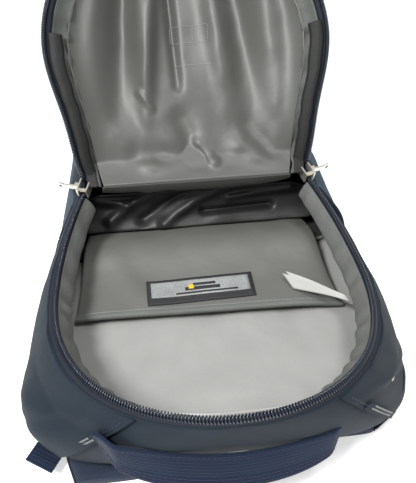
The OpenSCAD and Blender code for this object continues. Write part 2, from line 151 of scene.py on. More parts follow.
def mouth_xy(side, k, inset):
    """Point on the mouth in plan, from the fold (k = 0) to above the handle (k = 1)."""
    a = FOLD_ANGLE - (FOLD_ANGLE + math.pi / 2) * k
    reach = np.where(np.sin(a) > 0, MOUTH_FAR, MOUTH_NEAR - inset)
    return side * (MOUTH_HALF - inset) * np.cos(a), MOUTH_MID_Y + reach * np.sin(a)


def rim_pt(side, k, inset, up):
    x, y = mouth_xy(side, k, inset)
    return stack(x, y, rim_z(mouth_xy(side, k, 0)[1]) + up)


def lower_z(y):
    return FOLD_Z + LOWER_RISE * np.clip(y / RISE_LEN, 0, 1)


def lid_z(y):
    return FOLD_Z + LID_RISE * np.clip(-y / RISE_LEN, 0, 1)


def lower_pt(side, k, inset, up):
    c, s = corner(k)
    y = (LOWER_END_Y - inset) * s**CORNER_POW
    return stack(side * (FOLD_HALF - inset) * c**CORNER_POW, y, lower_z(y) + up)


def gusset_pt(side, end, k, f, inset):
    """Point on the wall, at share f of its height from the back panel up to the rim."""
    c, s = corner(k)
    low = back_pt(side, end, k, inset, BACK_Z)
    high = rim_pt(side, k, inset, 0) if end == NEAR else lower_pt(side, k, inset, 0)
    f = np.asarray(f, float)
    belly = (4 * f * (1 - f) * BULGE)[..., None]
    return lerp(low, high, f[..., None]) + belly * stack(side * c, end * s, 0 * f)


def gusset_grid(side, end, k, f, inset):
    """Grid on the wall: a row for each step k, a column for each height f."""
    return gusset_pt(np.asarray(side)[:, None], end, k[:, None], f[None, :] + 0 * k[:, None], inset)


def lid_pt(side, k, h, inset):
    """Point on the closed lid's wall, h above the mouth's edge."""
    y0 = mouth_xy(side, k, 0)[1]
    x, y = mouth_xy(side, k, inset + LID_DRAW * h / (LID_RISE + FOLD_Z - SAG_Z))
    # the open lid is pulled in at its waist, above the fold
    waist = 1 - 0.065 * bump(y0, -62, 48)
    return stack(x * waist, np.minimum(y, 0), rim_z(y0) + h)


def lid_height_at(k):
    """Height of the lid's wall above the mouth's edge."""
    y = mouth_xy(1, k, 0)[1]
    return lid_z(y) - rim_z(y)


def opened(p):
    """Closed-lid points turned about the fold line to where the lid rests open."""
    y, z = p[..., 1], p[..., 2] - FOLD_Z
    c, s = math.cos(OPEN_ANGLE), math.sin(OPEN_ANGLE)
    return stack(p[..., 0], y * c - z * s, FOLD_Z + y * s + z * c)


def loop(n, start=0.0):
    """Steps round the mouth: side and k, from the left fold over the handle to the right fold."""
    t = np.linspace(-1, 1, n)
    k = 1 - (1 - start) * np.abs(t)
    return np.where(t < 0, LEFT, RIGHT), k


# ---------------- meshes
def mesh_object(name, verts, faces, uv=None, shade=True):
    me = bpy.data.meshes.new(name)
    me.from_pydata((np.asarray(verts) * MM).tolist(), [], faces)
    if uv is not None:
        layer = me.uv_layers.new(name="UVMap")
        index = np.zeros(len(me.loops), np.int32)
        me.loops.foreach_get("vertex_index", index)
        layer.data.foreach_set("uv", (np.asarray(uv)[index] * MM).ravel())
    me.update()
    if shade:
        me.polygons.foreach_set("use_smooth", [True] * len(me.polygons))
    obj = bpy.data.objects.new(name, me)
    bpy.context.scene.collection.objects.link(obj)
    return obj


def grid_faces(n, m, wrap=False):
    out = []
    for i in range(n if wrap else n - 1):
        for j in range(m - 1):
            a, b = i * m + j, ((i + 1) % n) * m + j
            out.append((a, a + 1, b + 1, b))
    return out


def lengths(p):
    """Distance along each row and each column of a grid of points, for its UV map."""
    du = np.linalg.norm(np.diff(p, axis=0), axis=-1).mean(1)
    dv = np.linalg.norm(np.diff(p, axis=1), axis=-1).mean(0)
    u, v = np.concatenate([[0], du.cumsum()]), np.concatenate([[0], dv.cumsum()])
    return np.stack(np.meshgrid(u, v, indexing="ij"), -1).reshape(-1, 2)


def normals(p):
    return unit(np.cross(np.gradient(p, axis=0), np.gradient(p, axis=1)))


def cloth(name, p, thick=0.0, wrap=False, offset=0.0, subdiv=0):
    """Grid of points made into cloth, thick millimetres thick."""
    n, m = p.shape[:2]
    obj = mesh_object(name, p.reshape(-1, 3), grid_faces(n, m, wrap), lengths(p))
    if thick:
        mod = obj.modifiers.new("thickness", "SOLIDIFY")
        mod.thickness, mod.offset = thick * MM, offset
    if subdiv:
        mod = obj.modifiers.new("smooth", "SUBSURF")
        mod.levels = mod.render_levels = subdiv
    return obj


def tube_faces(n, sides):
    """Faces of n rings joined into a tube, with a lid on each end."""
    out = []
    for i in range(n - 1):
        for j in range(sides):
            a, b, turn = i * sides, (i + 1) * sides, (j + 1) % sides
            out.append((a + j, a + turn, b + turn, b + j))
    return out + [tuple(range(sides))[::-1], tuple((n - 1) * sides + j for j in range(sides))]


def tube(name, line, radius, sides=6):
    """Round cord along a line of points, in millimetres."""
    along = unit(np.gradient(line, axis=0))
    steep = np.abs(along[:, 2:3]) > 0.9
    a = unit(np.cross(along, np.where(steep, [[1.0, 0, 0]], [[0, 0, 1.0]])))
    b = np.cross(along, a)
    w = np.linspace(0, 2 * math.pi, sides, endpoint=False)[None, :, None]
    p = line[:, None] + radius * (a[:, None] * np.cos(w) + b[:, None] * np.sin(w))
    return mesh_object(name, p.reshape(-1, 3), tube_faces(len(line), sides))


BOX_CORNERS = [(x, y, z) for z in (-1, 1) for x, y in ((-1, -1), (1, -1), (1, 1), (-1, 1))]
BOX_FACES = ((0, 3, 2, 1), (4, 5, 6, 7), (0, 1, 5, 4), (1, 2, 6, 5), (2, 3, 7, 6), (3, 0, 4, 7))


def boxes(name, items):
    """Small bars: middle, direction along, direction up, and length, width and height of each."""
    verts, faces = [], []
    for mid, along, up, l, w, h in items:
        a = unit(along)
        u = unit(up - np.dot(up, a) * a)
        s = np.cross(a, u)
        faces += [tuple(len(verts) + i for i in f) for f in BOX_FACES]
        verts += [mid + a * x * l / 2 + s * y * w / 2 + u * z * h / 2 for x, y, z in BOX_CORNERS]
    return mesh_object(name, verts, faces, shade=False)


def distance_along(line):
    steps = np.linalg.norm(np.diff(line, axis=0), axis=1)
    return np.concatenate([[0], steps.cumsum()])


def point_at(s, d, line):
    """Points of a line at the distances s, where d is its distance_along."""
    return np.stack([np.interp(s, d, line[:, i]) for i in range(3)], -1)


def stitches(name, line, up, length=2.6, gap=1.6, width=0.7, height=0.5):
    """Row of thread stitches along a line of points."""
    d = distance_along(line)
    up = np.broadcast_to(np.asarray(up, float), line.shape)
    items = []
    for s in np.arange(gap, d[-1] - length, length + gap):
        a, b = point_at(s, d, line), point_at(s + length, d, line)
        items.append(((a + b) / 2, b - a, point_at(s, d, up), length, width, height))
    return boxes(name, items)


def coil(name, centre, across, up, pitch=2.35, half_w=2.5, half_h=1.35, wire=0.62, steps=12):
    """Zip coil: a flattened helix wound along a line of points."""
    d = distance_along(centre)
    s = np.linspace(0, d[-1], int(d[-1] / pitch) * steps + 1)
    w = (s / pitch * 2 * math.pi)[:, None]
    line = point_at(s, d, centre) + point_at(s, d, across) * (half_w * np.cos(w))
    return tube(name, line + point_at(s, d, up) * (half_h * np.sin(w)), wire, sides=5)


# ---------------- materials
def nodes_of(name):
    mat = bpy.data.materials.new(name)
    mat.use_nodes = True
    tree = mat.node_tree
    return mat, tree, tree.nodes["Principled BSDF"]


def noise_node(tree, coord, scale, detail=3.0, rough=0.5):
    n = tree.nodes.new("ShaderNodeTexNoise")
    n.inputs["Scale"].default_value = scale
    n.inputs["Detail"].default_value = detail
    n.inputs["Roughness"].default_value = rough
    tree.links.new(coord, n.inputs["Vector"])
    return n.outputs["Fac"]


def coordinate(tree, use_uv):
    return tree.nodes.new("ShaderNodeTexCoord").outputs["UV" if use_uv else "Object"]


def wave_node(tree, coord, pitch, axis):
    """Bands that repeat at the pitch, in metres."""
    n = tree.nodes.new("ShaderNodeTexWave")
    n.wave_type, n.bands_direction, n.wave_profile = "BANDS", axis, "SIN"
    n.inputs["Scale"].default_value = 0.314 / pitch
    n.inputs["Distortion"].default_value = 0.25
    tree.links.new(coord, n.inputs["Vector"])
    return n.outputs["Fac"]


def maths(tree, kind, a, b):
    n = tree.nodes.new("ShaderNodeMath")
    n.operation = kind
    for i, v in enumerate((a, b)):
        if isinstance(v, (int, float)):
            n.inputs[i].default_value = v
        else:
            tree.links.new(v, n.inputs[i])
    return n.outputs[0]


def ramp_node(tree, value, low, high, start=0.0, end=1.0):
    """Colour that goes from low to high as the value goes from start to end."""
    ramp = tree.nodes.new("ShaderNodeValToRGB")
    first, last = ramp.color_ramp.elements
    first.position, first.color = start, (*low, 1)
    last.position, last.color = end, (*high, 1)
    tree.links.new(value, ramp.inputs["Fac"])
    return ramp.outputs["Color"]


def bump_node(tree, height, strength, distance, under=None):
    n = tree.nodes.new("ShaderNodeBump")
    n.inputs["Strength"].default_value = strength
    n.inputs["Distance"].default_value = distance
    tree.links.new(height, n.inputs["Height"])
    if under:
        tree.links.new(under, n.inputs["Normal"])
    return n.outputs["Normal"]


def fabric(name, rgb, rough=0.75, pitch=0.0011, weave=0.25, mottle=0.1, sheen=0.0, spec=0.35, crease=0.0,
           use_uv=True, dark=None):
    """Woven cloth: crossing threads, fine mottling and an optional crumple."""
    mat, tree, bsdf = nodes_of(name)
    coord = coordinate(tree, use_uv)
    threads = maths(tree, "MULTIPLY", wave_node(tree, coord, pitch, "X"), wave_node(tree, coord, pitch, "Y"))
    fine = maths(tree, "MULTIPLY", noise_node(tree, coord, 900.0, 2.0), 0.5)
    broad = maths(tree, "MULTIPLY", noise_node(tree, coord, 28.0, 4.0), 0.5)
    low = dark or [c * (1 - mottle * 2.2) for c in rgb]
    high = [min(1, c * (1 + mottle * 2.2)) for c in rgb]
    colour = ramp_node(tree, maths(tree, "ADD", fine, broad), low, high, 0.32, 0.68)
    tree.links.new(colour, bsdf.inputs["Base Color"])
    bsdf.inputs["Roughness"].default_value = rough
    bsdf.inputs["Specular IOR Level"].default_value = spec
    bsdf.inputs["Sheen Weight"].default_value = sheen
    bsdf.inputs["Sheen Roughness"].default_value = 0.4
    normal = bump_node(tree, threads, weave, 0.0004)
    if crease:
        normal = bump_node(tree, noise_node(tree, coord, 55.0, 5.0, 0.55), crease, 0.004, normal)
    tree.links.new(normal, bsdf.inputs["Normal"])
    return mat


def solid(name, rgb, rough=0.4, metal=0.0, vary=0.06, grain=300.0, bump_size=0.0, coat=0.0):
    """Plastic or metal with faint unevenness."""
    mat, tree, bsdf = nodes_of(name)
    cloudy = noise_node(tree, coordinate(tree, False), grain, 4.0)
    high = [min(1, c * (1 + vary)) for c in rgb]
    tree.links.new(ramp_node(tree, cloudy, [c * (1 - vary) for c in rgb], high), bsdf.inputs["Base Color"])
    bsdf.inputs["Roughness"].default_value = rough
    bsdf.inputs["Metallic"].default_value = metal
    bsdf.inputs["Coat Weight"].default_value = coat
    if bump_size:
        tree.links.new(bump_node(tree, cloudy, bump_size, 0.0003), bsdf.inputs["Normal"])
    return mat


NAVY = fabric("navy_fabric", (0.011, 0.018, 0.027), rough=0.7, pitch=0.0012, weave=0.5, mottle=0.1,
              sheen=0.02, spec=0.14, crease=0.12)
NAVY_TAPE = fabric("navy_tape", (0.005, 0.008, 0.016), rough=0.7, pitch=0.0009, weave=0.5, mottle=0.12)
NAVY_WEB = fabric("navy_webbing", (0.008, 0.017, 0.04), rough=0.66, spec=0.2, pitch=0.0013, weave=0.9,
                  mottle=0.12, sheen=0.1)
POCKET = fabric("pocket_fabric", (0.032, 0.056, 0.08), rough=0.8, pitch=0.0024, weave=1.0, mottle=0.4,
                dark=(0.006, 0.01, 0.02))


def lining(name, rgb, rough, mottle=0.035, spec=0.5, crease=0.12, weave=0.12, sheen=0.0):
    """Fine coated cloth of the inside."""
    return fabric(name, rgb, rough, 0.0008, weave, mottle, sheen, spec, crease)


LINING = lining("grey_lining", (0.30, 0.30, 0.29), 0.38, crease=0.1, sheen=0.05)
# Sleeve cloth: the lining's grey darkened to about 0.4 of it, as painted shade on the sleeve
SHADED_SLEEVE_LINING = lining("sleeve_cloth", (0.118, 0.119, 0.11), 0.42)
# Lid's facing: the facing cloth below at half its grey, as painted shade on the upright open lid
SHADED_LID_FACING = lining("lid_facing_cloth", (0.06, 0.064, 0.058), 0.5, 0.06, 0.35, 0.4, 0.2)
# Lining darkened nearly to black, as painted shade on the lining under the fixed front, the fold and the open
# lid
SHADED_LINING = lining("grey_lining_shaded", (0.018, 0.019, 0.0175), 0.45, 0.05, crease=0.15)
# Lid's lining: the lining's grey darkened to a quarter, as painted shade on the upright open lid, which gets
# less of the light from above
SHADED_LID_LINING = lining("lid_lining_cloth", (0.075, 0.077, 0.07), 0.44, crease=0.1, sheen=0.05)
FACING = lining("grey_facing", (0.13, 0.134, 0.128), 0.55, 0.06, 0.35, 0.4, 0.2)
CHARCOAL = fabric("charcoal_binding", (0.012, 0.013, 0.012), rough=0.6, pitch=0.001, weave=0.4, mottle=0.12,
                  crease=0.4)
BINDING = fabric("grey_binding", (0.13, 0.137, 0.126), rough=0.65, pitch=0.0012, weave=0.6, mottle=0.08)
STRAP = fabric("strap_cloth", (0.02, 0.03, 0.055), rough=0.75, pitch=0.0012, weave=0.6, mottle=0.12,
               crease=0.1)
MESH = fabric("air_mesh", (0.012, 0.013, 0.015), rough=0.85, pitch=0.003, weave=1.0, mottle=0.3, use_uv=False)
THREAD = solid("thread", (0.2, 0.21, 0.21), rough=0.6, grain=900.0)
NAVY_THREAD = solid("navy_thread", (0.012, 0.018, 0.05), rough=0.6, grain=900.0)
COIL = solid("zip_coil", (0.014, 0.02, 0.034), rough=0.25, grain=500.0, coat=0.3)
NICKEL = solid("zip_metal", (0.78, 0.74, 0.66), rough=0.28, metal=0.85, vary=0.08, grain=200.0, bump_size=0.2)
BLACK = solid("black_plastic", (0.016, 0.016, 0.018), rough=0.42, grain=700.0, bump_size=0.5)
WHITE_LABEL = fabric("white_label", (0.42, 0.42, 0.4), rough=0.5, pitch=0.0006, weave=0.15, mottle=0.03)
BADGE_DARK = fabric("badge_border", (0.028, 0.028, 0.03), rough=0.6, pitch=0.0006, weave=0.5, mottle=0.1)
BADGE_LIGHT = fabric("badge_field", (0.3, 0.31, 0.31), rough=0.6, pitch=0.0008, weave=0.6, mottle=0.25)
YELLOW = fabric("badge_mark", (0.8, 0.5, 0.02), rough=0.6, pitch=0.0006, weave=0.4, mottle=0.06)


# Materials grouped under the slot name they share; these mappings are built but not kept
dict.fromkeys(("badge_border", "badge_field", "badge_mark"), "woven_label")
dict.fromkeys(("sleeve_cloth", "lid_facing_cloth", "grey_lining_shaded", "lid_lining_cloth",
                            "grey_facing"), "grey_lining")


def finish(obj, material, body="bag", replaces=None, blend=None):
    obj.data.materials.clear()
    obj.data.materials.append(material)
    if blend:
        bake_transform(obj)
    else:
        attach(obj, body)
    if replaces:
        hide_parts(replaces)


def sheet(name, p, thick, material, body="bag", replaces=None, blend=None,
                offset=0.0, subdiv=0):
    """Cloth piece from its grid of points: mesh with a UV map of its lengths, material and body."""
    obj = cloth(name, p, thick, offset=offset, subdiv=subdiv)
    finish(obj, material, body, replaces, blend)


# ---------------- camera, floor and light
scene = bpy.context.scene


def place(obj, at, target):
    """Puts a camera or light where it stands, turned towards its target."""
    obj.location = at
    obj.rotation_euler = (Vector(target) - Vector(at)).to_track_quat("-Z", "Y").to_euler()
    scene.collection.objects.link(obj)


def area_light(name, at, target, size, power):
    light = bpy.data.lights.new(name, "AREA")
    light.shape, light.size, light.energy = "SQUARE", size, power
    place(bpy.data.objects.new(name, light), at, target)


def studio():
    cam = bpy.data.objects.new("Camera", bpy.data.cameras.new("Camera"))
    place(cam, (-0.047, -0.466, 0.446), (0.007, -0.030, 0.057))
    scene.camera = cam
    cam.data.lens, cam.data.sensor_width = 42.3, 36
    cam.data.dof.use_dof = False
    scene.view_settings.view_transform = "Standard"
    world = bpy.data.worlds.new("studio")
    world.use_nodes = True
    world.node_tree.nodes["Background"].inputs["Color"].default_value = (1, 1, 1, 1)
    world.node_tree.nodes["Background"].inputs["Strength"].default_value = 0.5
    scene.world = world
    area_light("key", (-0.75, -0.7, 1.5), (0, 0, 0.1), 0.45, 34)
    area_light("top", (0.35, -0.35, 1.9), (0, -0.05, 0), 0.5, 14)


def white_floor(half=4):
    mesh = bpy.data.meshes.new("floor")
    mesh.from_pydata([(half * x, half * y, 0) for x, y, z in BOX_CORNERS[:4]], [], [(0, 1, 2, 3)])
    floor = bpy.data.objects.new("floor", mesh)
    scene.collection.objects.link(floor)
    mat, tree, bsdf = nodes_of("floor_paper")
    cloudy = noise_node(tree, coordinate(tree, False), 3.0)
    tree.links.new(ramp_node(tree, cloudy, [0.93] * 3, [0.95] * 3), bsdf.inputs["Base Color"])
    bsdf.inputs["Roughness"].default_value = 0.9
    bsdf.inputs["Emission Color"].default_value = (1, 1, 1, 1)
    bsdf.inputs["Emission Strength"].default_value = 0.5
    mesh.materials.append(mat)


studio()
white_floor()


# ---------------- outer fabric of the bag
def wrinkles(p, amount, seed, scale):
    """Pushes cloth in and out a little, more along the second direction than across it."""
    d = lengths(p).reshape(*p.shape[:2], 2)
    h = noise(d[..., 0] / scale, d[..., 1] / (2.4 * scale), seed)
    h = h + 0.5 * noise(d[..., 0] / (0.45 * scale), d[..., 1] / scale, seed + 3)
    return p + normals(p) * (amount * h)[..., None]


def outward_of(side, k, end=NEAR):
    """Level direction out of the wall, one for each step."""
    c, s = corner(k)
    return stack(side * c, end * s, 0 * c)[:, None, :]


def wall_steps(k0, k1, n):
    """Steps along the upper wall, closer together near the handle, where the panel's corner is spread out."""
    return 1 - lerp((1 - k0) ** 0.6, (1 - k1) ** 0.6, np.linspace(0, 1, n)) ** (1 / 0.6)


def wall_stitches(name, sg, k, facing_k, low, high, *sizes):
    """Stitches that climb the upper wall at step k, between two shares of its height."""
    side = np.full(40, sg)
    line = gusset_pt(side, NEAR, np.full(40, k), np.linspace(low, high, 40), -3.0)
    return stitches(name, line, outward_of(side, np.full(40, facing_k))[:, 0], *sizes)


def top_gusset():
    half = wall_steps(SEAM_K - SEAM_LAP, 1.0, 70)
    k = np.concatenate([half, half[-2::-1]])
    side = np.concatenate([np.full(70, LEFT), np.full(69, RIGHT)])
    p = gusset_grid(side, NEAR, k, np.linspace(0, WALL_TOP, 40), 0.6)
    # its edges dip in under the side panels
    p = p - outward_of(side, k) * (1.2 * bump(k, SEAM_K, 0.02))[:, None, None]
    sheet("top_gusset_cloth", wrinkles(p, 0.5, 11, 40), 2.0, NAVY, replaces="top_gusset")


def side_panel(sg, label, belly, seed):
    steps = wall_steps(0.0, SEAM_K + SEAM_LAP, 150)
    side = np.full(150, sg)
    p = gusset_grid(side, NEAR, steps, np.linspace(0, WALL_TOP, 40), -0.3)
    k, f = steps[:, None], np.linspace(0, WALL_TOP, 40)[None, :]
    # the corner beside the handle bellies out and down, most on the left
    low = bump(k, 0.60, 0.17) * np.sin(math.pi * np.clip(f / 0.6, 0, 1))
    p = p + (belly * low)[..., None] * stack(sg * 0.9, -0.45, -0.1)
    # raised edge along the seam, and slack folds that run down into the corner
    seam = np.exp(-np.maximum(SEAM_K + SEAM_LAP - k, 0) / 0.02)
    slack = 2.2 * bump(k - 0.55 * f, 0.30, 0.05) - 1.8 * bump(k - 0.25 * f, 0.52, 0.035)
    p = p + outward_of(side, steps) * (seam + slack * np.sin(math.pi * f / WALL_TOP))[..., None]
    sheet("side_%s_cloth" % label, wrinkles(p, 0.8, seed, 30), 2.0, NAVY,
          replaces="side_upper_" + label)
    obj = wall_stitches("seam_stitches_" + label, sg, SEAM_K - 0.014, SEAM_K, 0.3, 0.9, 2.4, 1.6, 0.5, 0.4)
    finish(obj, NAVY_THREAD)


def lower_side(sg, label):
    k = np.linspace(0.0, 0.76, 70)
    p = gusset_grid(np.full(70, sg), FAR, k, np.linspace(0, 1, 34), -0.3)
    sheet("lower_side_%s_cloth" % label, wrinkles(p, 0.9, 21 + sg, 34), 2.2, NAVY,
          replaces="side_lower_" + label)


def bottom():
    across = np.linspace(-1, 1, 90)
    k = 1 - 0.27 * np.abs(across) ** 1.5
    p = gusset_grid(np.where(across < 0, LEFT, RIGHT), FAR, k, np.linspace(0, 1, 30), -0.1)
    sheet("bottom_cloth", wrinkles(p, 0.8, 31, 36), 2.6, NAVY, replaces="bottom_panel")


def lower_front():
    """Fixed front, from beside the fold to the bottom, hollowed a little under the pocket's zip."""
    start_y = 24.0
    y = np.linspace(start_y, LOWER_END_Y - 1, 60)[:, None]
    across = np.linspace(-1, 1, 60)[None, :]
    half = FOLD_HALF * (1 - (y / LOWER_END_Y) ** (2 / CORNER_POW)) ** (CORNER_POW / 2)
    x = across * (half - 0.4)
    z = lower_z(y) + 3.0 * (1 - across**4) * smooth((y - start_y) / 40) * (1 - smooth((y - 150) / 36))
    z = z - 4.0 * bump(y, POCKET_ZIP_Y, 13) * smooth((88 - np.abs(x)) / 12)
    sheet("lower_front_cloth", wrinkles(stack(x, y, z), 0.5, 41, 40), 2.2, NAVY,
          replaces="front_lower_panel")


top_gusset()
side_panel(LEFT, "left", 9.0, 5)
side_panel(RIGHT, "right", -3.0, 8)
for sg, label in SIDES:
    lower_side(sg, label)
bottom()
lower_front()


# ---------------- outer bridge over the lid's fold
def unsmooth(v):
    """Where smooth() reaches v."""
    low, high = 0.0, 1.0
    for _ in range(40):
        m = (low + high) / 2
        low, high = (m, high) if smooth(m) < v else (low, m)
    return (low + high) / 2


def front_fold(spread=18.0):
    """Bridge over the fold: flat when the lid is shut, built here as the narrow U it makes while the lid is
    open.

    Its rows are set across the fold over the spread, in millimetres; no blend weight is stored.
    """
    at_lower = math.degrees(math.atan2(LOWER_RISE, RISE_LEN))
    at_lid = 90 - LID_LEAN - math.degrees(math.atan2(LID_RISE, RISE_LEN))
    w = np.linspace(0, 1, 41)
    at_rest = np.radians(lerp(at_lower, at_lid, w))
    when_shut = np.radians(lerp(at_lower, at_lid + 90 + LID_LEAN, w))
    radius = lerp(LOWER_RISE, LID_RISE, w) / np.sin(when_shut)
    middle = math.radians((at_lower + at_lid) / 2)
    base = np.array([0.0, math.cos(middle), math.sin(middle)])
    perp = np.array([0.0, -math.sin(middle), math.cos(middle)])
    off = (np.array([unsmooth(v) for v in w]) - 0.5) * spread
    # both ends are drawn down towards the fold line
    flap = np.linspace(0.5, 1, 6)
    share = np.concatenate([flap, np.ones(30), flap[::-1]])
    across = np.concatenate([np.full(6, -1.0), np.linspace(-1, 1, 30), np.full(6, 1.0)]) * (FOLD_HALF - 1)
    along = (radius * np.cos(at_rest - middle))[:, None] * share[None, :]
    p = stack(across[None, :], along * base[1] + (off * perp[1])[:, None],
              FOLD_Z + along * base[2] + (off * perp[2])[:, None])
    centre = np.array([0, 0, FOLD_Z]) + base * 60
    ends = [tuple((centre + t * perp * spread / 2) * MM) for t in (-1, 1)]
    sheet("front_fold_cloth", p, 1.4, NAVY, blend=ends)


front_fold()


# ---------------- rim of the bag: tape, coil, facing
def zip_coil(label, centre, inward, out, tilt, core, body, node):
    """One half of the main zip: a coil tilted over a cord."""
    obj = coil(label + "_coil", centre, inward * 0.8 + out * tilt, out * 0.8 - inward * tilt)
    finish(obj, COIL, body, node)
    finish(tube(label + "_coil_cord", centre, core), NAVY_TAPE, body)


def pucker(side, k, amount, seed):
    """Uneven gathers along a strip."""
    s = side * (1 - k) * 360
    uneven = 0.55 + 0.45 * noise(s / 22, 0 * s + 4, seed)
    return amount * np.sin(s / 9.0 * 2.2 + 2.5 * noise(s / 30, 0 * s, seed)) * uneven


def rim():
    side, k = loop(401, 0.02)
    on_wall = ((0.90, 1.6), (0.925, 0.6), (0.945, 0.4), (0.965, 0.9))
    over_edge = ((0.6, -2.6), (1.4, -2.2), (3.0, -2.9), (4.4, -4.6))
    rows = [gusset_pt(side, NEAR, k, f + 0 * k, inset) for f, inset in on_wall]
    rows += [rim_pt(side, k, inset, up) for inset, up in over_edge]
    sheet("rim_tape_cloth", np.stack(rows, 1), 1.2, NAVY_TAPE, replaces="body_zip_tape")
    finish(tube("rim_piping", gusset_pt(side, NEAR, k, WALL_TOP + 0 * k, 0.0), 1.15), NAVY)
    centre = rim_pt(side, k, 2.2, -0.9)
    inward = unit(rim_pt(side, k, 5.2, -0.9) - centre)
    zip_coil("rim", centre, inward, np.array([0, 0, 1.0]), 0.6, 1.0, "bag", "body_zip_coil")
    # facing: inset and height, and how far each of the two follows the gathers
    wobble = pucker(side, k, 1.6, 3)
    facing = ((4.6, 0, -3.6, 0), (5.6, 0.3, -5.0, 0), (7.6, 0.7, -7.6, 0), (10.2, 1, -11.5, 0),
              (12.4, 1, -16.0, 0), (13.6, 0.8, -20.5, 0.6))
    rows = [rim_pt(side, k, inset + a * wobble, up + b * wobble) for inset, a, up, b in facing]
    sheet("rim_facing_cloth", np.stack(rows, 1), 0.6, FACING, replaces="body_facing",
          subdiv=1)


rim()


# ---------------- lining of the bag, from the floor to the rim
def tub(end, wall_top, n):
    """Half of the lining, out over the floor and up the wall, and how far round each row is."""
    side, k = loop(n)
    edge = back_pt(side, end, k, 24, FLOOR_Z + 1.6)
    middle = stack(0, end * 60.0 + 0 * k, FLOOR_Z + 1.6)
    rows = [lerp(middle, edge, q) for q in np.linspace(0, 0.93, 22)]
    for f in np.linspace(0.16, wall_top, 26):
        inset = 5.0 + 13 * math.exp(-(((f - 0.1) / 0.12) ** 2))
        if end == NEAR:
            # keeps behind the facing near the rim
            inset += 9.0 * max(f - 0.7, 0) / 0.14
        rows.append(gusset_pt(side, end, k, f + 0 * k, inset))
    return np.stack(rows, 1), (side * (1 - k))[:, None]


def main_lining():
    p, turn = tub(NEAR, 0.84, 261)
    x, y = p[..., 0], p[..., 1]
    fold = 1.4 * noise(x / 38 + 3, y / 60, 51) + 0.7 * noise(x / 15, y / 34, 52)
    fold += folds(x, y, (22, -238, 4, -188, 7, 4.5), (8, -236, -10, -196, 6, -3.0),
                  (-68, -232, -44, -196, 8, 2.4), (60, -236, 70, -200, 8, 2.0))
    p[..., 2] += fold * smooth((48 - p[..., 2]) / 12) + 1.6
    ripple = smooth((p[..., 2] - 40) / 14) * 1.6 * noise(turn * 11, p[..., 2] / 26, 61)
    p += normals(p) * ripple[..., None]
    sheet("main_lining_cloth", p, 0.6, LINING, replaces="main_lining")


def lower_lining():
    p, turn = tub(FAR, 0.96, 181)
    ripple = smooth((p[..., 2] - 38) / 12) * 1.5 * noise(turn * 9, p[..., 2] / 24, 66)
    p += normals(p) * ripple[..., None]
    # near-black lining: painted shade under the fixed front and the open lid
    sheet("lower_lining_cloth", p, 0.6, SHADED_LINING)


def lower_front_lining():
    """Lining under the fixed front: it sags from the fold onto the sleeve, then runs back."""
    q = np.linspace(0, 1, 130)
    stops = (0, 0.12, 0.26, 0.40, 0.50, 0.58, 0.78, 1)
    path_y = np.interp(q, stops, (3, 15, 19, 11, 1, 14, 80, 165))
    path_z = np.interp(q, stops, (101, 90, 74, 60, 51.5, 49, 58, 82))
    half = np.interp(q, stops, (99, 112, 128, 138, 122, 112, 104, 84))
    for path in (path_y, path_z):
        path[4:-4] = np.convolve(path, np.ones(9) / 9, "valid")
    across = np.linspace(-1, 1, 161)[None, :]
    x = across * half[:, None]
    s = (q / 0.5 * 60)[:, None] + 0 * x
    push = folds(x, s, (-96, 50, -26, -4, 6, 7), (-40, 56, 44, 2, 6, 7), (-62, 52, 12, -2, 6, -6),
                 (30, 30, 104, 20, 5, 6), (4, 44, 84, 42, 4, -8), (-120, 16, -70, 30, 6, 6))
    push += 2.4 * noise(x / 24, s / 16, 71)
    push *= smooth((1 - np.abs(across)) / 0.12) * (smooth(q / 0.08) * (1 - smooth((q - 0.48) / 0.1)))[:, None]
    p = stack(x, path_y[:, None] - 0.85 * push, path_z[:, None] + 0.5 * push)
    # near-black lining: painted shade under the fold and the open lid
    sheet("lower_front_lining_cloth", p, 0.6, SHADED_LINING)


main_lining()
lower_lining()
lower_front_lining()

# ---------------- laptop sleeve with its binding and labels
SLEEVE_TOP, SLEEVE_END, SLEEVE_HALF, SLEEVE_END_HALF = -110.0, 168.0, 126.0, 103.0
SLEEVE_SLANT = 0.035
BADGE_X, BADGE_Y, BADGE_TURN = -7.0, -86.0, 0.5


def sleeve_face(x, y):
    """Height of the sleeve's upper face, with its soft undulations."""
    z = 36.5 + 15 * bump(y, -26, 34) + 2.5 * bump(y, -90, 40) + 5.8
    z = z + 1.1 * noise(x / 60, y / 46, 81) + 0.35 * noise(x / 16, y / 24, 82)
    z = z + folds(x, y, (-96, -30, -60, -98, 11, 2.2), (84, -20, 52, -70, 13, 2.0))
    return z - 2.5 * smooth((np.abs(x) - 96) / 30)


def sleeve():
    y = np.linspace(SLEEVE_TOP + 2.5, SLEEVE_END, 110)[:, None]
    half = lerp(SLEEVE_HALF, SLEEVE_END_HALF, (y - SLEEVE_TOP) / (SLEEVE_END - SLEEVE_TOP))
    x = np.linspace(-1, 1, 110)[None, :] * half
    y = y - SLEEVE_SLANT * x * smooth((0 - y) / 60)
    p = stack(x, y, sleeve_face(x, y))
    # sleeve in the lining's grey, darkened as painted shade
    sheet("sleeve_cloth", p, 3.6, SHADED_SLEEVE_LINING, body="sleeve",
          replaces="laptop_sleeve", offset=1 if normals(p)[5, 5, 2] > 0 else -1)


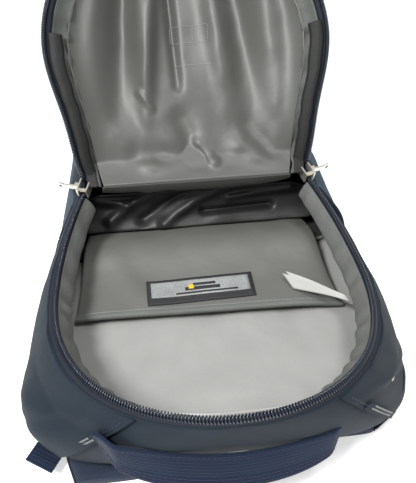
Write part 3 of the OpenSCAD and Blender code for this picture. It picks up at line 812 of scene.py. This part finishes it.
def sleeve_binding():
    """Bias tape round the sleeve's top edge, in a squarish section."""
    x = np.linspace(-SLEEVE_HALF - 1, SLEEVE_HALF + 1, 90)
    y = SLEEVE_TOP + 0.5 - SLEEVE_SLANT * x
    z = sleeve_face(x, y)
    rows = []
    for a in np.linspace(0, 2 * math.pi, 15):
        c, s = math.cos(a), math.sin(a)
        dy, dz = math.copysign(3.4 * abs(c) ** 0.7, c), math.copysign(2.6 * abs(s) ** 0.7, s)
        rows.append(stack(x, y + dy, z - 1.8 + dz))
    sheet("sleeve_binding_cloth", np.stack(rows, 1), 0.0, BINDING, body="sleeve",
          replaces="sleeve_binding")
    line = stack(x, y + 2.2, sleeve_face(x, y) + 0.75)
    obj = stitches("sleeve_binding_stitches", line, (0, 0, 1), 2.4, 1.4, 0.45, 0.3)
    finish(obj, THREAD, "sleeve")


def patch(name, dx, dy, w, l, lift, thick, material, n=12, m=4, replaces=None):
    """Flat patch of the badge, dx and dy from the badge's middle, w wide and l long."""
    u, v = np.meshgrid(np.linspace(-w / 2, w / 2, n), np.linspace(-l / 2, l / 2, m), indexing="ij")
    a = math.radians(BADGE_TURN)
    x = BADGE_X + dx + u * math.cos(a) - v * math.sin(a)
    y = BADGE_Y + dy + u * math.sin(a) + v * math.cos(a)
    sheet(name, stack(x, y, sleeve_face(x, y) + lift), thick, material, body="sleeve",
          replaces=replaces)


def badge():
    """Woven badge of a generic design: a border, a field, three bars and a square."""
    patch("badge_border", 0, 0, 104, 30, 1.1, 0.9, BADGE_DARK, 24, 12, "woven_label")
    patch("badge_field", 0, 2.5, 96, 19, 1.8, 0.4, BADGE_LIGHT, 24, 12)
    for i, (dx, dy, w, l) in enumerate(((2, 1, 34, 4), (4, 6, 22, 3), (6, -4, 60, 2))):
        patch("badge_bar_%d" % i, dx, dy, w, l, 2.15, 0.3, BADGE_DARK)
    patch("badge_square", -9, 3, 5, 5, 2.5, 0.3, YELLOW, 6, 6)


def care_label():
    """Blank label sewn into the right seam, folded once, so two leaves lie over each other."""
    u, v = np.meshgrid(np.linspace(0, 1, 26), np.linspace(-1, 1, 9), indexing="ij")
    for leaf, lift in ((0, 0.0), (1, 1.6)):
        wide = 3.2 + 4.8 * u
        x = 129 - 48 * u - 3 * leaf - 0.5 * wide * v
        y = -126 + 37 * u + wide * v
        z = 54 - 2 * u + 2.6 * np.sin(3.0 * u + leaf) + 0.4 * wide * v + lift * (1 - u)
        sheet("care_label_leaf_%d" % leaf, stack(x, y, z), 0.3, WHITE_LABEL,
              replaces=None if leaf else "care_label")


sleeve()
sleeve_binding()
badge()
care_label()


# ---------------- lid
def lid_wall():
    """Outer wall of the lid, from the zip's tape to the lid's front."""
    side, k = loop(401)
    height = np.maximum(lid_height_at(k), 0.0)
    rows = []
    for q in np.linspace(0, 1, 16):
        belly = 5.0 * math.sin(math.pi * q) * smooth(height / 40)
        rows.append(lid_pt(side, k, lerp(14.0, np.maximum(height, 14.5), q), 1.6 - belly))
    p = wrinkles(opened(np.stack(rows, 1)), 0.7, 91, 30)
    sheet("lid_wall_cloth", p, 1.6, NAVY, body="lid", replaces="lid_gusset")


def lid_front():
    k = np.linspace(0.02, 0.992, 90)
    edge = lid_pt(1, k, np.maximum(lid_height_at(k), 0.0), 1.2)
    p = opened(stack(edge[:, 0, None] * np.linspace(-1, 1, 70)[None, :], edge[:, 1, None], edge[:, 2, None]))
    sheet("lid_front_cloth", p, 2.0, NAVY, body="lid", replaces="lid_front")


def lid_zip():
    side, k = loop(401, 0.03)
    tape = ((-0.6, 15.0), (-0.2, 12.5), (0.4, 9.5), (1.0, 7), (1.8, 5.2), (4.6, 5.6), (7.0, 7.5))
    p = opened(np.stack([lid_pt(side, k, h, inset) for inset, h in tape], 1))
    sheet("lid_tape_cloth", p, 1.0, NAVY_TAPE, body="lid", replaces="lid_zip_tape")
    centre = opened(lid_pt(side, k, 3.2, 1.2))
    inward = unit(opened(lid_pt(side, k, 3.2, 4.2)) - centre)
    deep = unit(opened(lid_pt(side, k, 8.2, 1.2)) - centre)
    zip_coil("lid", centre, inward, deep, -0.6, 1.2, "lid", "lid_zip_coil")


def lid_facing():
    """Puckered facing inside the tape."""
    side, k = loop(401)
    height = np.maximum(lid_height_at(k), 0.0)
    wobble = pucker(side, k, 1.8, 13)
    rows = []
    for q in np.linspace(0, 1, 7):
        h = lerp(6.5, 15.0, q) + 2.0 * math.sin(math.pi * q) - 0.6 * wobble * q
        rows.append(lid_pt(side, k, np.minimum(h, height - 3.5), lerp(6.0, 20.0, q) + wobble * q))
    # facing darkened as painted shade on the lid
    sheet("lid_facing_cloth", opened(np.stack(rows, 1)), 0.6, SHADED_LID_FACING, body="lid",
          replaces="lid_facing")


def lid_lining():
    """Lining that hangs in deep folds. Returns its grid on the open lid."""
    edge = lid_pt(1, np.linspace(0.0, 0.985, 170), 14.0, 19.0)
    across = np.linspace(-1, 1, 241)[None, :]
    x = edge[:, 0, None] * across
    y = edge[:, 1, None] + 0 * x
    top = FOLD_Z - 7.0 + LID_RISE * (1 - np.exp(y / 74))
    low = np.minimum(edge[:, 2, None], top)
    z = low + (top - low) * (1 - np.abs(across) ** 5) * 0.62
    # folds that fan out from the apex; each fades slowly towards the fold line
    out = folds(x, y, (-42, -240, -50, 20, 9, 12), (-26, -240, -50, -20, 7, 11),
                (-56, -240, -82, 20, 12, -13), (-17, -240, -12, -90, 5, -9), (-90, -240, -104, 20, 18, 10),
                (24, -240, 46, 20, 12, 11), (44, -240, 74, 20, 13, -11), (76, -240, 92, 20, 14, 9))
    out = out * smooth((-30 - y) / 150)
    # short creases in the middle and near the fold line
    out += folds(x, y, (-53, -92, -38, -72, 3, 2.2), (0, -40, 22, -12, 6, 4.5), (-14, -70, 4, -18, 9, -4),
                 (-40, -70, -10, -16, 12, 3), (50, -60, 84, -14, 10, -3.5), (-84, -58, -34, -6, 13, 4.0),
                 (-66, -30, 10, -26, 10, -3.0), (36, -36, 92, -8, 12, 4.0))
    out = out + 1.2 * noise(x / 30, y / 60, 95) + 0.5 * noise(x / 12, y / 18, 96)
    z = z - out * smooth((1 - np.abs(across)) / 0.22) * smooth((-3 - y) / 16)
    p = opened(stack(x, y, np.minimum(z, lid_z(y) - 4.5)))
    # lining darkened as painted shade on the lid
    sheet("lid_lining_cloth", p, 0.6, SHADED_LID_LINING, body="lid",
          replaces="lid_lining")
    return x, y, p


def lid_binding(sg, label):
    """Charcoal strip beside the fold."""
    k = np.linspace(0.0, 0.36, 70)
    side = np.full(70, sg)
    wobble = pucker(side, k, 0.9, 17 + sg)
    rows = []
    for q in np.linspace(0, 1, 7):
        h = 5.0 + 3.0 * q - 2.5 * math.sin(math.pi * q) + wobble * 0.5 * q
        rows.append(lid_pt(side, k, np.minimum(h, lid_height_at(k) - 5.0), lerp(5.0, 17.0, q) + 0.6 * wobble))
    sheet("lid_binding_%s" % label, opened(np.stack(rows, 1)), 1.2, CHARCOAL, body="lid")


def lid_stitches(x, y, p):
    """Stitched oblong and a line above it on the lining, placed by their points on the closed lid."""
    toward = normals(p)
    if toward[80, 120, 1] > 0:
        toward = -toward
    left, middle, right, top, low, line_y = -16, 7, 22, -154, -137, -116
    ends = ((left, low, right, low), (right, low, right, top), (right, top, left, top),
            (left, top, left, low), (middle, low, middle, top), (left + 2, line_y, right + 2, line_y))
    for n, (ax, ay, bx, by) in enumerate(ends):
        line = []
        for t in np.linspace(0, 1, 12):
            i = int(np.argmin(np.abs(y[:, 0] - lerp(ay, by, t))))
            j = int(np.argmin(np.abs(x[i] - lerp(ax, bx, t))))
            line.append(p[i, j] + toward[i, j] * 0.5)
        obj = stitches("lid_stitches_%d" % n, np.array(line), (0, -0.8, 0.6), 2.0, 1.2, 0.5, 0.4)
        finish(obj, THREAD, "lid")


def fold_lining():
    """Lining that rolls over the fold, from the lower half to the lid."""
    w = np.linspace(0, 1, 25)[:, None]
    across = np.linspace(-1, 1, 81)[None, :]
    sag = 3.0 * np.sin(math.pi * w) * (1 - across**4)
    y = 22 * (1 - w) ** 2 + 2 * 2 * w * (1 - w) - 6.5 * w**2 - 0.6 * sag
    z = 99 * (1 - w) ** 2 + 2 * 100 * w * (1 - w) + 118 * w**2 - sag
    z = z + 1.2 * noise(across * 6, w * 2, 99) * np.sin(math.pi * w)
    # the lid's darkened lining: painted shade in the fold
    sheet("fold_lining_cloth", stack(across * (97 - 3 * w), y, z), 0.6, SHADED_LID_LINING,
          blend=((0, 0.022, 0.099), (0, -0.0065, 0.118)))


lid_wall()
lid_front()
lid_zip()
lid_facing()
lining_grid = lid_lining()
for sg, label in SIDES:
    lid_binding(sg, label)
lid_stitches(*lining_grid)
fold_lining()


# ---------------- grab handle
def handle_at(u, v, out):
    """Point of the handle: u along from -1 to 1, v across from -1 (low edge) to 1, out from its face."""
    radius = (HANDLE_HALF**2 + HANDLE_REACH**2) / (2 * HANDLE_REACH)
    a = math.asin(HANDLE_HALF / radius) * u * 1.05
    tilt = np.radians(lerp(30.0, -14.0, np.abs(u) ** 3))
    half = 13.5 * (1 - 0.12 * np.abs(u) ** 6)
    # both ends turn in under the seams, and the left end sits higher
    r = radius - v * half * np.sin(tilt) + out * np.cos(tilt) - 9 * smooth((np.abs(u) - 0.8) / 0.2)
    z = HANDLE_Z + 5 - 9 * u - HANDLE_DROOP * (1 - u * u) + v * half * np.cos(tilt) + out * np.sin(tilt)
    return stack(HANDLE_X + r * np.sin(a), HANDLE_Y - HANDLE_REACH + radius - r * np.cos(a), z)


def grab_handle():
    u = np.linspace(-1, 1, 160)
    ribs = [(v, 1.5 + 0.28 * math.cos(v * 34)) for v in np.linspace(-0.97, 0.97, 34)]
    under = [(v, -1.6) for v in np.linspace(0.97, -0.97, 10)]
    section = [(-1, -1.4), (-1, 1.2)] + ribs + [(1, 1.2), (1, -1.4)] + under + [(-1, -1.4)]
    p = np.stack([handle_at(u, v, out) for v, out in section], 1)
    sheet("handle_webbing", p, 0.0, NAVY_WEB, body="handle", replaces="grab_handle")
    for i, v in enumerate((-0.82, -0.62, -0.42, 0.86)):
        line = handle_at(u, v, 1.9)
        obj = stitches("handle_stitches_%d" % i, line, handle_at(u, v, 2.9) - line, 2.6, 1.0, 0.6, 0.5)
        finish(obj, NAVY_THREAD, "handle")


def handle_anchor(sg, label):
    """Pad over an end of the handle, with two bar-tacks."""
    k, f = np.linspace(0.745, SEAM_K + 0.003, 14), np.linspace(0.16, 0.66, 26)
    p = gusset_grid(np.full(14, sg), NEAR, k, f, -1.8)
    sheet("handle_anchor_%s" % label, p, 1.4, NAVY,
          replaces="handle_anchors" if sg == LEFT else None)
    for i, tack_k in enumerate((0.750, 0.763)):
        name = "anchor_tack_%s_%d" % (label, i)
        obj = wall_stitches(name, sg, tack_k, tack_k, 0.22, 0.6, 0.9, 0.8, 1.5, 0.3)
        finish(obj, THREAD)


grab_handle()
for sg, label in SIDES:
    handle_anchor(sg, label)


# ---------------- side pockets
def side_pocket(sg, label, bulge, k_end=0.62, low=0.06, high=0.80):
    """Pocket from beside the fold to k_end, between two shares of the wall's height."""
    k, f = np.linspace(0.0, k_end, 70), np.linspace(low, high, 40)
    shape = (1 - (k / k_end) ** 3)[:, None] * np.sin(math.pi * (f - low) / (high - low))[None, :]
    outward = outward_of(sg, k, FAR)
    p = gusset_grid(np.full(70, sg), FAR, k, f, -1.6) + outward * (bulge * shape)[..., None]
    p = wrinkles(p, 1.0, 120 + sg, 26)
    sheet("pocket_%s_cloth" % label, p, 1.2, POCKET,
          replaces="side_pocket_" + label)
    finish(tube("pocket_hem_%s_cord" % label, p[0] + outward[0] * 0.6, 2.2, 8), NAVY_TAPE,
           replaces="pocket_hem_" + label)


side_pocket(LEFT, "left", 0.6)
side_pocket(RIGHT, "right", 10.0)

# ---------------- back: panel, pads, straps
PAD_TOP = 20.5


def squared(angle, power):
    """Cosine and sine of a circle drawn out towards a rectangle."""
    c, s = np.cos(angle), np.sin(angle)
    return np.sign(c) * np.abs(c) ** power, np.sign(s) * np.abs(s) ** power


def air_pad(node, cx, cy, w, l, low):
    """Closed pad with rounded edges, from the height low up to the back panel."""
    ox, oy = squared(np.linspace(0, 2 * math.pi, 40, endpoint=False), 2 / 3.2)
    rows = []
    for b in np.linspace(-math.pi / 2, math.pi / 2, 30):
        r = 1 - (1 - math.cos(b) ** 0.45) * 0.9 if abs(b) < math.pi / 2 - 1e-6 else 0.0
        h = (math.sin(b) + 1) / 2
        rows.append(stack(cx + ox * w / 2 * r, cy + oy * l / 2 * r, lerp(low, PAD_TOP, (smooth(h) + h) / 2)))
    obj = cloth(node + "_cloth", np.stack(rows, 1), wrap=True)
    finish(obj, MESH, replaces=node)


def back_panel():
    """Closed slab: height and inset of each ring, from its underside round to its top."""
    section = ((20, 60), (19.6, 20), (19.5, 3), (20.5, 0.5), (24, 0.2), (28, 1.2), (30, 6), (30.5, 60))
    k = np.linspace(0, 1, 60)
    rows = []
    for z, inset in section:
        turns = ((RIGHT, NEAR, k[:-1]), (LEFT, NEAR, k[:0:-1]), (LEFT, FAR, k[:-1]), (RIGHT, FAR, k[:0:-1]))
        rows.append(np.concatenate([back_pt(side, end, steps, inset, z) for side, end, steps in turns]))
    p = np.stack(rows, 1)
    n, m = p.shape[:2]
    faces = grid_faces(n, m, wrap=True)
    faces += [tuple(i * m for i in range(n)), tuple(i * m + m - 1 for i in range(n))[::-1]]
    obj = mesh_object("back_panel_cloth", p.reshape(-1, 3), faces, lengths(p))
    finish(obj, NAVY, replaces="back_panel")


def shoulder_strap(sg, label, start_y):
    """Padded strap under the bag, curving out and narrowing, with a mesh edge on each side."""
    n, m = 60, 22
    t = np.linspace(0, 1, n)
    mid = 98 + 8 * np.sin(math.pi * t) + 6 * t
    half = 33 * (1 - 0.35 * t) * np.where(t < 0.08, 0.8 + 2.5 * t, 1)
    half = half * np.where(t > 0.96, 1 - (t - 0.96) * 6, 1)
    cx, cz = squared(np.linspace(0, 2 * math.pi, m, endpoint=False), 0.55)
    x = sg * (mid[:, None] + half[:, None] * cx[None, :])
    p = stack(x, lerp(start_y, 42.0, t)[:, None], 5.1 + 4.9 * cz[None, :])
    faces = tube_faces(n, m)
    if sg == RIGHT:
        faces = [face[::-1] for face in faces]
    obj = mesh_object("strap_%s_cloth" % label, p.reshape(-1, 3), faces, p[..., :2].reshape(-1, 2))
    finish(obj, STRAP, "shoulder_" + label, "strap_" + label)
    for i, column in enumerate((0, m // 2)):
        obj = tube("strap_%s_edge_%d" % (label, i), p[:, column], 1.5)
        finish(obj, MESH, "shoulder_" + label)


air_pad("spine_pad", 0, -18, 76, 236, 0.0)
air_pad("lumbar_pad", 0, 143, 196, 60, 0.0)
for sg, label in SIDES:
    air_pad("back_pad_" + label, sg * 88, -42, 84, 270, 11.0)
back_panel()
shoulder_strap(LEFT, "left", -246.0)
shoulder_strap(RIGHT, "right", -230.0)


# ---------------- CAD parts kept as they are, and webbing
def dress_node(name, material, bevel=0.0, segments=2):
    """Gives a CAD node its material and, where bevel isn't 0, slightly rounded edges."""
    node = NODES[name]
    node.data.materials.clear()
    node.data.materials.append(material)
    if bevel:
        mod = node.modifiers.new("edges", "BEVEL")
        mod.width, mod.segments, mod.limit_method = bevel, segments, "ANGLE"


def webbing(node, label, thick, shift=(0, 0, 0)):
    """Webbing in place of a plain CAD band, ribbed along its length."""
    co = np.array([v.co[:] for v in NODES[node].data.vertices]) / MM + shift
    mid = co.mean(0)
    axes = np.linalg.svd(co - mid, full_matrices=False)[2]
    l, w = [np.ptp((co - mid) @ a) for a in axes[:2]]
    u = np.linspace(-l / 2, l / 2, 60)[:, None, None] * axes[0]
    v = np.linspace(-w / 2, w / 2, 34)
    rib = (thick * (0.5 + 0.16 * np.cos(v * 2.2)))[None, :, None] * axes[2]
    face = mid + u + v[None, :, None] * axes[1]
    p = np.concatenate([face + rib, (face - rib)[:, ::-1], (face + rib)[:, :1]], 1)
    sheet(node + "_cloth", p, 0.0, NAVY_WEB, body="shoulder_" + label,
          replaces=node)


for name in ("ladder_lock_left", "ladder_lock_right", "solar_regulator", "solar_bezel", "solar_backing"):
    dress_node(name, BLACK, 0.0006)
METAL = ("slider_left", "slider_right", "pull_left", "pull_right", "front_slider", "front_pull", "zip_stops")
for name in METAL:
    dress_node(name, NICKEL, 0.0004)
for label, tab_shift in (("left", (0, 0, 0)), ("right", (-9, 5, 0))):
    webbing("web_" + label, label, 1.6)
    webbing("strap_tab_" + label, label, 2.0, tab_shift)
for name in ("strap_anchors", "web_anchors"):
    dress_node(name, fabric(name + "_cloth", (0.02, 0.03, 0.06), use_uv=False, weave=0.8), 0.0022, 4)


# ---------------- front pocket zip
def pocket_zip(half=78.0):
    x = np.linspace(-half, half, 60)
    z = FOLD_Z + LOWER_RISE + 0.3
    for i, s in enumerate((-1, 1)):
        section = ((2.6, 1.4), (5, 1.3), (8, 1.0), (10.6, 0.6))
        rows = [stack(x, POCKET_ZIP_Y + s * d, z + h) for d, h in section]
        sheet("front_tape_%d" % i, np.stack(rows, 1), 0.9, NAVY_TAPE,
              replaces="front_zip_tape")
    across, up = np.tile([0, 1.0, 0], (60, 1)), np.tile([0, 0, 1.0], (60, 1))
    obj = coil("front_coil", stack(x, POCKET_ZIP_Y, z + 1.0), across, up, 1.6, 2.2, 0.7, 0.4)
    finish(obj, COIL, replaces="front_zip_coil")


pocket_zip()


# ---------------- solar panel on the lid's outside
def cell_material():
    """Dark cells with fine fingers and wider bars of metal."""
    mat, tree, bsdf = nodes_of("solar_cell")
    coord = coordinate(tree, False)
    fingers = maths(tree, "GREATER_THAN", wave_node(tree, coord, 0.0022, "X"), 0.93)
    bars = maths(tree, "GREATER_THAN", wave_node(tree, coord, 0.017, "X"), 0.985)
    colour = ramp_node(tree, maths(tree, "MAXIMUM", fingers, bars), (0.006, 0.01, 0.045), (0.45, 0.47, 0.5))
    tree.links.new(colour, bsdf.inputs["Base Color"])
    bsdf.inputs["Roughness"].default_value = 0.25
    return mat


def cover_material():
    mat = solid("clear_cover", (0.8, 0.85, 0.9), rough=0.08, vary=0.03)
    bsdf = mat.node_tree.nodes["Principled BSDF"]
    bsdf.inputs["Transmission Weight"].default_value = 0.95
    bsdf.inputs["IOR"].default_value = 1.45
    return mat


dress_node("solar_cells", cell_material())
dress_node("solar_cover", cover_material())
